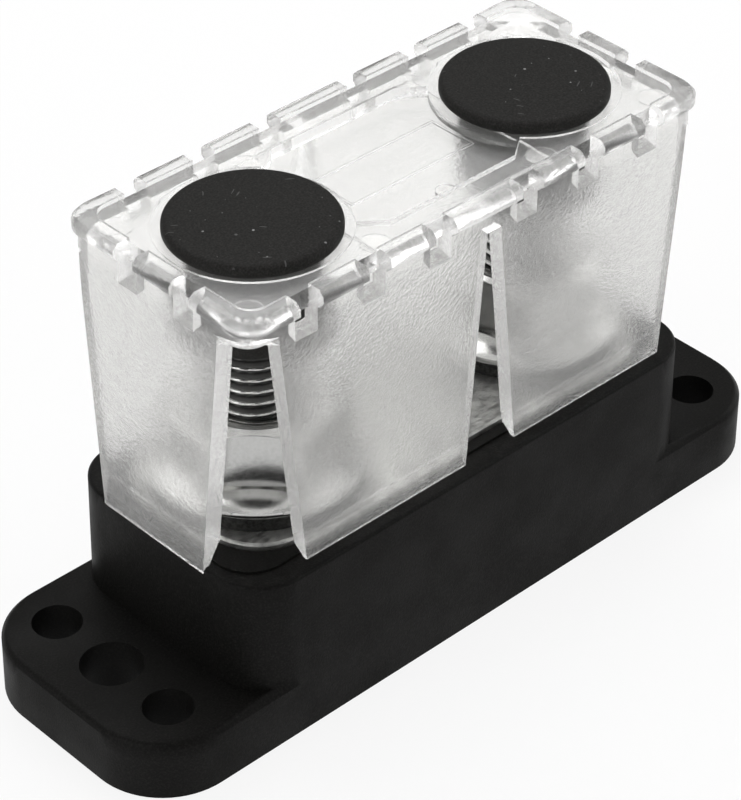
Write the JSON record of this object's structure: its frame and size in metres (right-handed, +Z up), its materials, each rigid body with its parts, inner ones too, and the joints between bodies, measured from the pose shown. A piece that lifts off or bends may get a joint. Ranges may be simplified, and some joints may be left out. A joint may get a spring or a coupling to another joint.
{
  "type": "power bus bar",
  "caption": "Insulated power bus bar: a flat bar links two threaded studs on a flanged base, under a clear slotted cover with push-in caps.",
  "frame": {"origin": "middle of the base's underside", "axes": "+Z up through the cover, X along the base from one flange to the other, Y across it"},
  "size_m": [0.0962, 0.0314, 0.0549],
  "materials": {
    "base_moulding": "fine matt texture",
    "tinned_copper": "dull tin plating, lightly scratched",
    "stainless": "bright stainless",
    "clear_cover": "frosted clear polycarbonate",
    "cap_moulding": "soft matt black"
  },
  "bodies": {
    "housing": {"base": "base_moulding", "bus_bar": "tinned_copper", "stud_left": "stainless", "stud_right": "stainless"},
    "washer_left": {"washer_left": "stainless"},
    "washer_right": {"washer_right": "stainless"},
    "nut_left": {"flange_nut_left": "stainless"},
    "nut_right": {"flange_nut_right": "stainless"},
    "cover": {"cover": "clear_cover"},
    "cap_left": {"cap_left": "cap_moulding"},
    "cap_right": {"cap_right": "cap_moulding"}
  },
  "joints": [
    {"name": "cover_lift", "type": "slide", "parent": "housing", "child": "cover", "axis": [0, 0, 1], "range_m": [0, 0.036]},
    {"name": "cap_left_pull", "type": "slide", "parent": "cover", "child": "cap_left", "axis": [0, 0, 1], "range_m": [0, 0.016]},
    {"name": "cap_right_pull", "type": "slide", "parent": "cover", "child": "cap_right", "axis": [0, 0, 1], "range_m": [0, 0.016]},
    {"name": "washer_left_lift", "type": "slide", "parent": "housing", "child": "washer_left", "axis": [0, 0, 1], "range_m": [0, 0.006]},
    {"name": "nut_left_turn", "type": "hinge", "parent": "washer_left", "child": "nut_left", "pos_m": [-0.01965, 0, 0.02425], "axis": [0, 0, 1], "range_deg": [0, 1441]},
    {"name": "washer_right_lift", "type": "slide", "parent": "housing", "child": "washer_right", "axis": [0, 0, 1], "range_m": [0, 0.006]},
    {"name": "nut_right_turn", "type": "hinge", "parent": "washer_right", "child": "nut_right", "pos_m": [0.01965, 0, 0.02425], "axis": [0, 0, 1], "range_deg": [0, 1441]}
  ],
  "couplings": [
    {"joint": "nut_left_turn", "follows": "washer_left_lift", "rad_per_m": 4188.8},
    {"joint": "nut_right_turn", "follows": "washer_right_lift", "rad_per_m": 4188.8}
  ]
}
